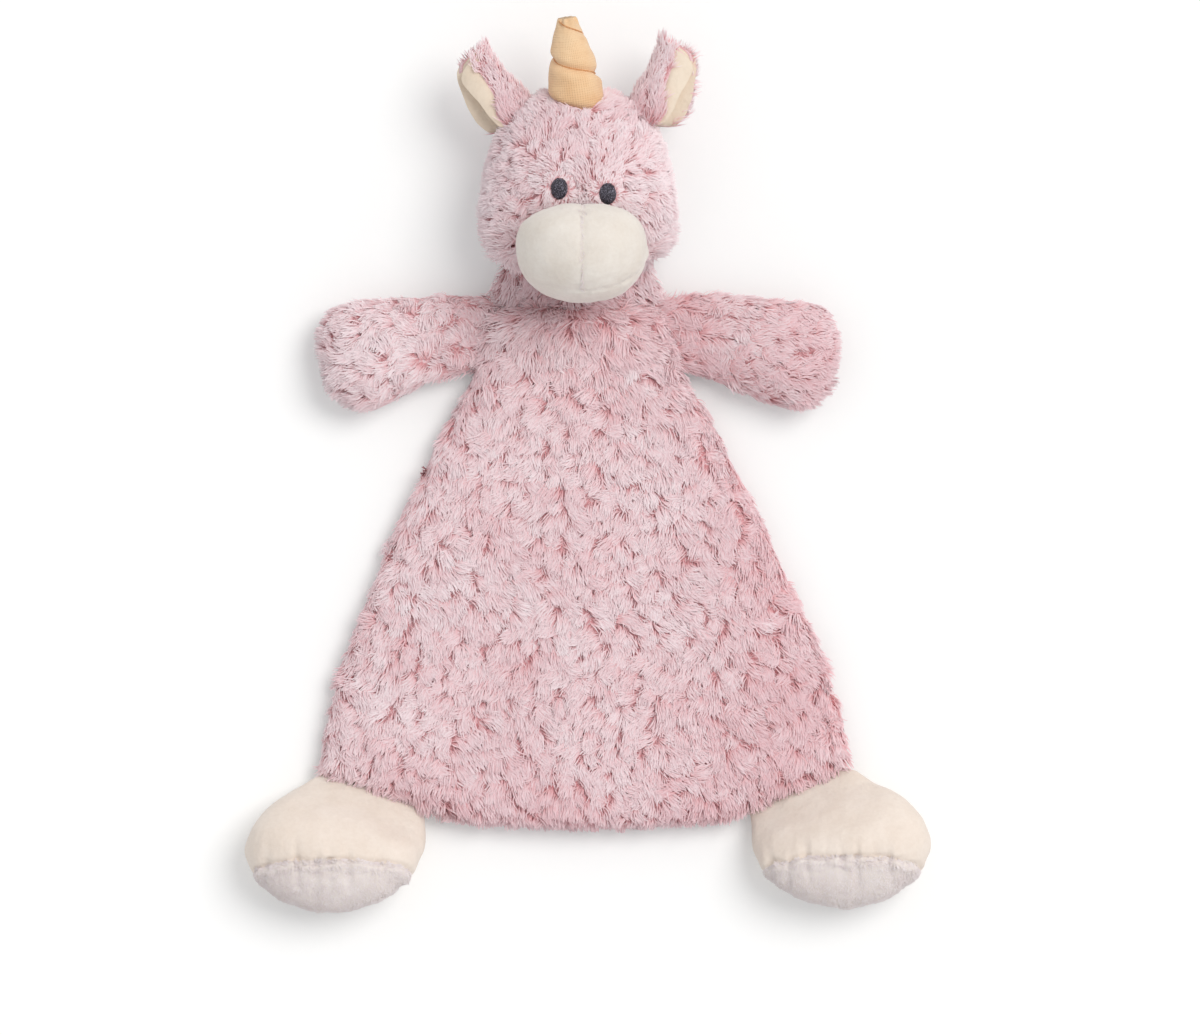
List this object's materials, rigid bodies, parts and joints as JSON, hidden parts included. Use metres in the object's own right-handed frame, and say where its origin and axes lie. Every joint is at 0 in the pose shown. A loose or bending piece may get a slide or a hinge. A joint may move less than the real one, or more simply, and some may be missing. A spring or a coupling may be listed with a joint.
{
  "type": "comfort blanket lovey",
  "caption": "Soft toy whose body is a flat plush blanket, with a stuffed horned head, cupped ears, plush arms and stuffed velour feet sewn to its edges.",
  "frame": {"origin": "middle of the outline on the surface that the toy lies on", "axes": "+Y from the hem to the horn, +Z from the back to the face, +X to the viewer's right"},
  "size_m": [0.275, 0.3572, 0.084],
  "materials": {
    "plush": "long curly pile, pale pink tips over rose roots",
    "cream_velour": "short dense cream pile",
    "sole_velour": "short cream pile, brushed",
    "horn_velour": "finely ribbed peach cloth",
    "eye_thread": "slate satin-stitch embroidery",
    "horn_thread": "twisted orange thread",
    "filling": "loose white polyester fibre"
  },
  "bodies": {
    "blanket": {"blanket_front_panel": "plush", "blanket_back_panel": "plush"},
    "neck": {"neck_cover": "plush", "neck_filling": "filling"},
    "head": {"head_front_panel": "plush", "head_back_panel": "plush", "head_filling": "filling", "muzzle_left_panel": "cream_velour", "muzzle_right_panel": "cream_velour", "muzzle_chin_panel": "cream_velour", "muzzle_filling": "filling", "eye_left": "eye_thread", "eye_right": "eye_thread", "horn_cover": "horn_velour", "horn_filling": "filling", "horn_thread": "horn_thread"},
    "ear_left": {"ear_left_back": "plush", "ear_left_lining": "cream_velour"},
    "ear_right": {"ear_right_back": "plush", "ear_right_lining": "cream_velour"},
    "arm_left": {"arm_left_front": "plush", "arm_left_back": "plush", "arm_left_filling": "filling"},
    "arm_right": {"arm_right_front": "plush", "arm_right_back": "plush", "arm_right_filling": "filling"},
    "foot_left": {"foot_left_upper": "cream_velour", "foot_left_sole": "sole_velour", "foot_left_filling": "filling"},
    "foot_right": {"foot_right_upper": "cream_velour", "foot_right_sole": "sole_velour", "foot_right_filling": "filling"}
  },
  "joints": [
    {"name": "neck_nod", "type": "hinge", "parent": "blanket", "child": "neck", "pos_m": [-0.00454, 0.07341, 0.007], "axis": [1, 0, 0], "range_deg": [-75, 45]},
    {"name": "head_turn", "type": "hinge", "parent": "neck", "child": "head", "pos_m": [-0.00454, 0.07991, 0.012], "axis": [0, 1, 0], "range_deg": [-25, 25]},
    {"name": "arm_left_fold", "type": "hinge", "parent": "blanket", "child": "arm_left", "pos_m": [-0.04893, 0.05586, 0.007], "axis": [0.2147, 0.9767, 0], "range_deg": [-55, 55]},
    {"name": "arm_right_fold", "type": "hinge", "parent": "blanket", "child": "arm_right", "pos_m": [0.04032, 0.05586, 0.007], "axis": [0.2147, -0.9767, 0], "range_deg": [-55, 55]},
    {"name": "foot_left_fold", "type": "hinge", "parent": "blanket", "child": "foot_left", "pos_m": [-0.08904, -0.1361, 0.007], "axis": [-0.9563, 0.2924, 0], "range_deg": [-60, 60]},
    {"name": "foot_right_fold", "type": "hinge", "parent": "blanket", "child": "foot_right", "pos_m": [0.08778, -0.13594, 0.007], "axis": [-0.9336, -0.3584, 0], "range_deg": [-60, 60]},
    {"name": "ear_left_fold", "type": "hinge", "parent": "head", "child": "ear_left", "pos_m": [-0.0308, 0.14553, 0.03], "axis": [0.6247, 0.2398, 0.7431], "range_deg": [-35, 35]},
    {"name": "ear_right_fold", "type": "hinge", "parent": "head", "child": "ear_right", "pos_m": [0.02652, 0.14553, 0.03], "axis": [0.6247, -0.2398, -0.7431], "range_deg": [-35, 35]}
  ]
}
